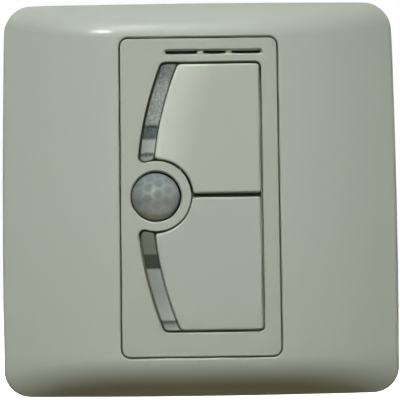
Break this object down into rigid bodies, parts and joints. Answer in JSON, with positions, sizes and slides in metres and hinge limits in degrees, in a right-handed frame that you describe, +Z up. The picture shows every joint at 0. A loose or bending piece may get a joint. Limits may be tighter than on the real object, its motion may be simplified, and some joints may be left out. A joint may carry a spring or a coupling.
{
  "type": "two-button wall switch",
  "caption": "Square wall switch with a tall insert: two sprung push buttons, curved light strips and a small motion-sensor dome, on a screw-fixed carrier with a rear box.",
  "frame": {"origin": "middle of the line between the two wall-box screw slots, on the wall's surface", "axes": "+X right and +Z up as the user faces the switch, +Y into the wall"},
  "size_m": [0.086, 0.0376, 0.086],
  "materials": {
    "plate_plastic": "satin silver-grey moulded plastic, fine grain",
    "insert_plastic": "satin silver-grey moulded plastic, flat",
    "button_plastic": "satin silver-grey moulded plastic, smooth",
    "frosted_clear": "clear plastic, frosted behind",
    "lens_plastic": "milky polyethylene, smooth",
    "carrier_plastic": "grey glass-filled plastic",
    "housing_plastic": "dark grey flame-safe plastic",
    "black_plastic": "black moulded plastic",
    "white_plastic": "white reflecting plastic",
    "board_green": "green solder mask on glass laminate",
    "zinc_steel": "bright zinc-plated steel",
    "sensor_steel": "nickel-plated steel",
    "contact_gold": "thin gold flash",
    "clamp_brass": "bare brass",
    "filter_dark": "dark silicon window",
    "chip_resin": "black moulding resin",
    "relay_case": "blue moulded case",
    "ferrite": "dark grey sintered ferrite",
    "winding_tape": "yellow winding tape",
    "film_case": "yellow moulded case",
    "can_sleeve": "black sleeve on an aluminium can",
    "varistor_coat": "blue epoxy coat",
    "black_foam": "soft black foam rubber",
    "terminal_plastic": "dark moulded plastic"
  },
  "bodies": {
    "switch_base": {"face_frame": "plate_plastic", "mounting_yoke": "carrier_plastic", "centre_panel": "insert_plastic", "upper_light_window": "frosted_clear", "lower_light_window": "frosted_clear", "upper_reflector": "white_plastic", "lower_reflector": "white_plastic", "upper_indicator_led": "white_plastic", "lower_indicator_led": "white_plastic", "upper_tact_switch": "black_plastic", "lower_tact_switch": "black_plastic", "sensor_lens": "lens_plastic", "lens_seal": "black_foam", "motion_sensor_can": "sensor_steel", "motion_sensor_filter": "filter_dark", "motion_sensor_leads": "contact_gold", "sensor_shroud": "black_plastic", "control_board": "board_green", "control_chip": "chip_resin", "header_pins": "contact_gold", "lower_header_strip": "black_plastic", "upper_header_strip": "black_plastic", "power_board": "board_green", "first_relay": "relay_case", "second_relay": "relay_case", "transformer_core": "ferrite", "supply_transformer": "winding_tape", "line_capacitor": "film_case", "smoothing_capacitor": "can_sleeve", "line_fuse": "black_plastic", "surge_varistor": "varistor_coat", "terminal_block": "terminal_plastic", "terminal_clamps": "clamp_brass", "terminal_screws": "zinc_steel", "rear_housing": "housing_plastic", "housing_screws": "zinc_steel"},
    "upper_button": {"upper_button": "button_plastic"},
    "lower_button": {"lower_button": "button_plastic"},
    "upper_tact_plunger": {"upper_tact_plunger": "black_plastic"},
    "lower_tact_plunger": {"lower_tact_plunger": "black_plastic"}
  },
  "joints": [
    {"name": "upper_button_press", "type": "hinge", "parent": "switch_base", "child": "upper_button", "pos_m": [0.004, -0.005, 0.02765], "axis": [1, 0, 0], "range_deg": [0, 1.5], "stiffness_Nm_per_rad": 0.8, "springref_deg": -0.57},
    {"name": "lower_button_press", "type": "hinge", "parent": "switch_base", "child": "lower_button", "pos_m": [0.004, -0.005, -0.02765], "axis": [-1, 0, 0], "range_deg": [0, 1.5], "stiffness_Nm_per_rad": 0.8, "springref_deg": -0.57},
    {"name": "upper_stem_travel", "type": "slide", "parent": "switch_base", "child": "upper_tact_plunger", "axis": [0, 1, 0], "range_m": [0, 0.00042]},
    {"name": "lower_stem_travel", "type": "slide", "parent": "switch_base", "child": "lower_tact_plunger", "axis": [0, 1, 0], "range_m": [0, 0.00042]}
  ],
  "couplings": [
    {"joint": "upper_stem_travel", "follows": "upper_button_press", "m_per_rad": 0.014},
    {"joint": "lower_stem_travel", "follows": "lower_button_press", "m_per_rad": 0.014}
  ]
}
